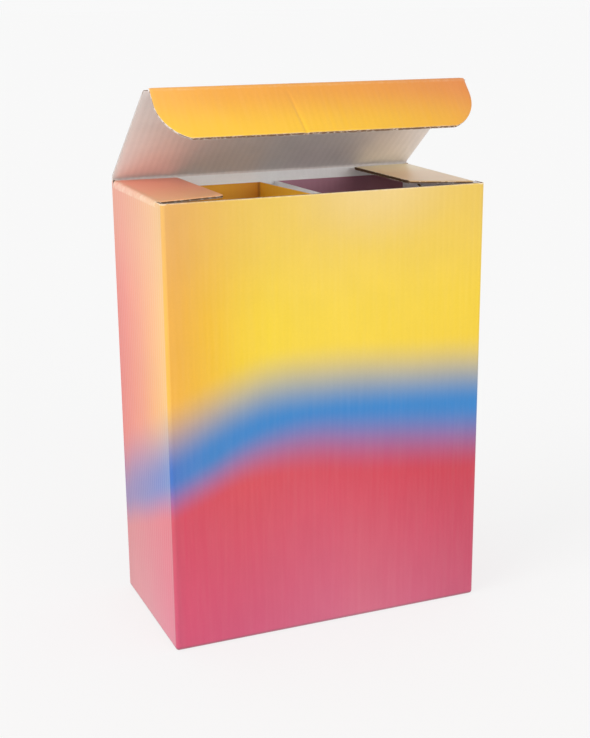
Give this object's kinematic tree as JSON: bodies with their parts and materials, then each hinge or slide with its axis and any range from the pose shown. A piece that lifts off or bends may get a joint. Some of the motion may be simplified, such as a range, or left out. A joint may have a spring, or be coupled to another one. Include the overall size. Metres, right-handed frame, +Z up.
{
  "type": "gift box for glasses",
  "caption": "Upright gift box of fluted board with a half-open hinged lid, curved tuck flap, dust flaps folded inwards and a folded divider insert.",
  "frame": {"origin": "centre of the rectangle that the box stands on", "axes": "+X to the right along the front face, +Y from the front to the back, +Z up"},
  "size_m": [0.16, 0.082, 0.2601],
  "materials": {
    "carton_board": "satin print outside, bare liner inside",
    "lid_board": "satin print outside, bare liner inside",
    "tuck_board": "satin print outside, bare liner inside",
    "insert_board": "satin print outside, bare liner inside"
  },
  "bodies": {
    "carton": {"carton": "carton_board", "divider_insert": "insert_board"},
    "lid": {"lid": "lid_board"},
    "tuck_flap": {"tuck_flap": "tuck_board"}
  },
  "joints": [
    {"name": "lid_hinge", "type": "hinge", "parent": "carton", "child": "lid", "pos_m": [0, 0.04025, 0.21401], "axis": [-1, 0, 0], "range_deg": [-36.5, 105]},
    {"name": "tuck_hinge", "type": "hinge", "parent": "lid", "child": "tuck_flap", "pos_m": [0, -0.02129, 0.25861], "axis": [-1, 0, 0], "range_deg": [-29.2, 84]}
  ],
  "couplings": [
    {"joint": "tuck_hinge", "follows": "lid_hinge", "ratio": 0.8}
  ]
}
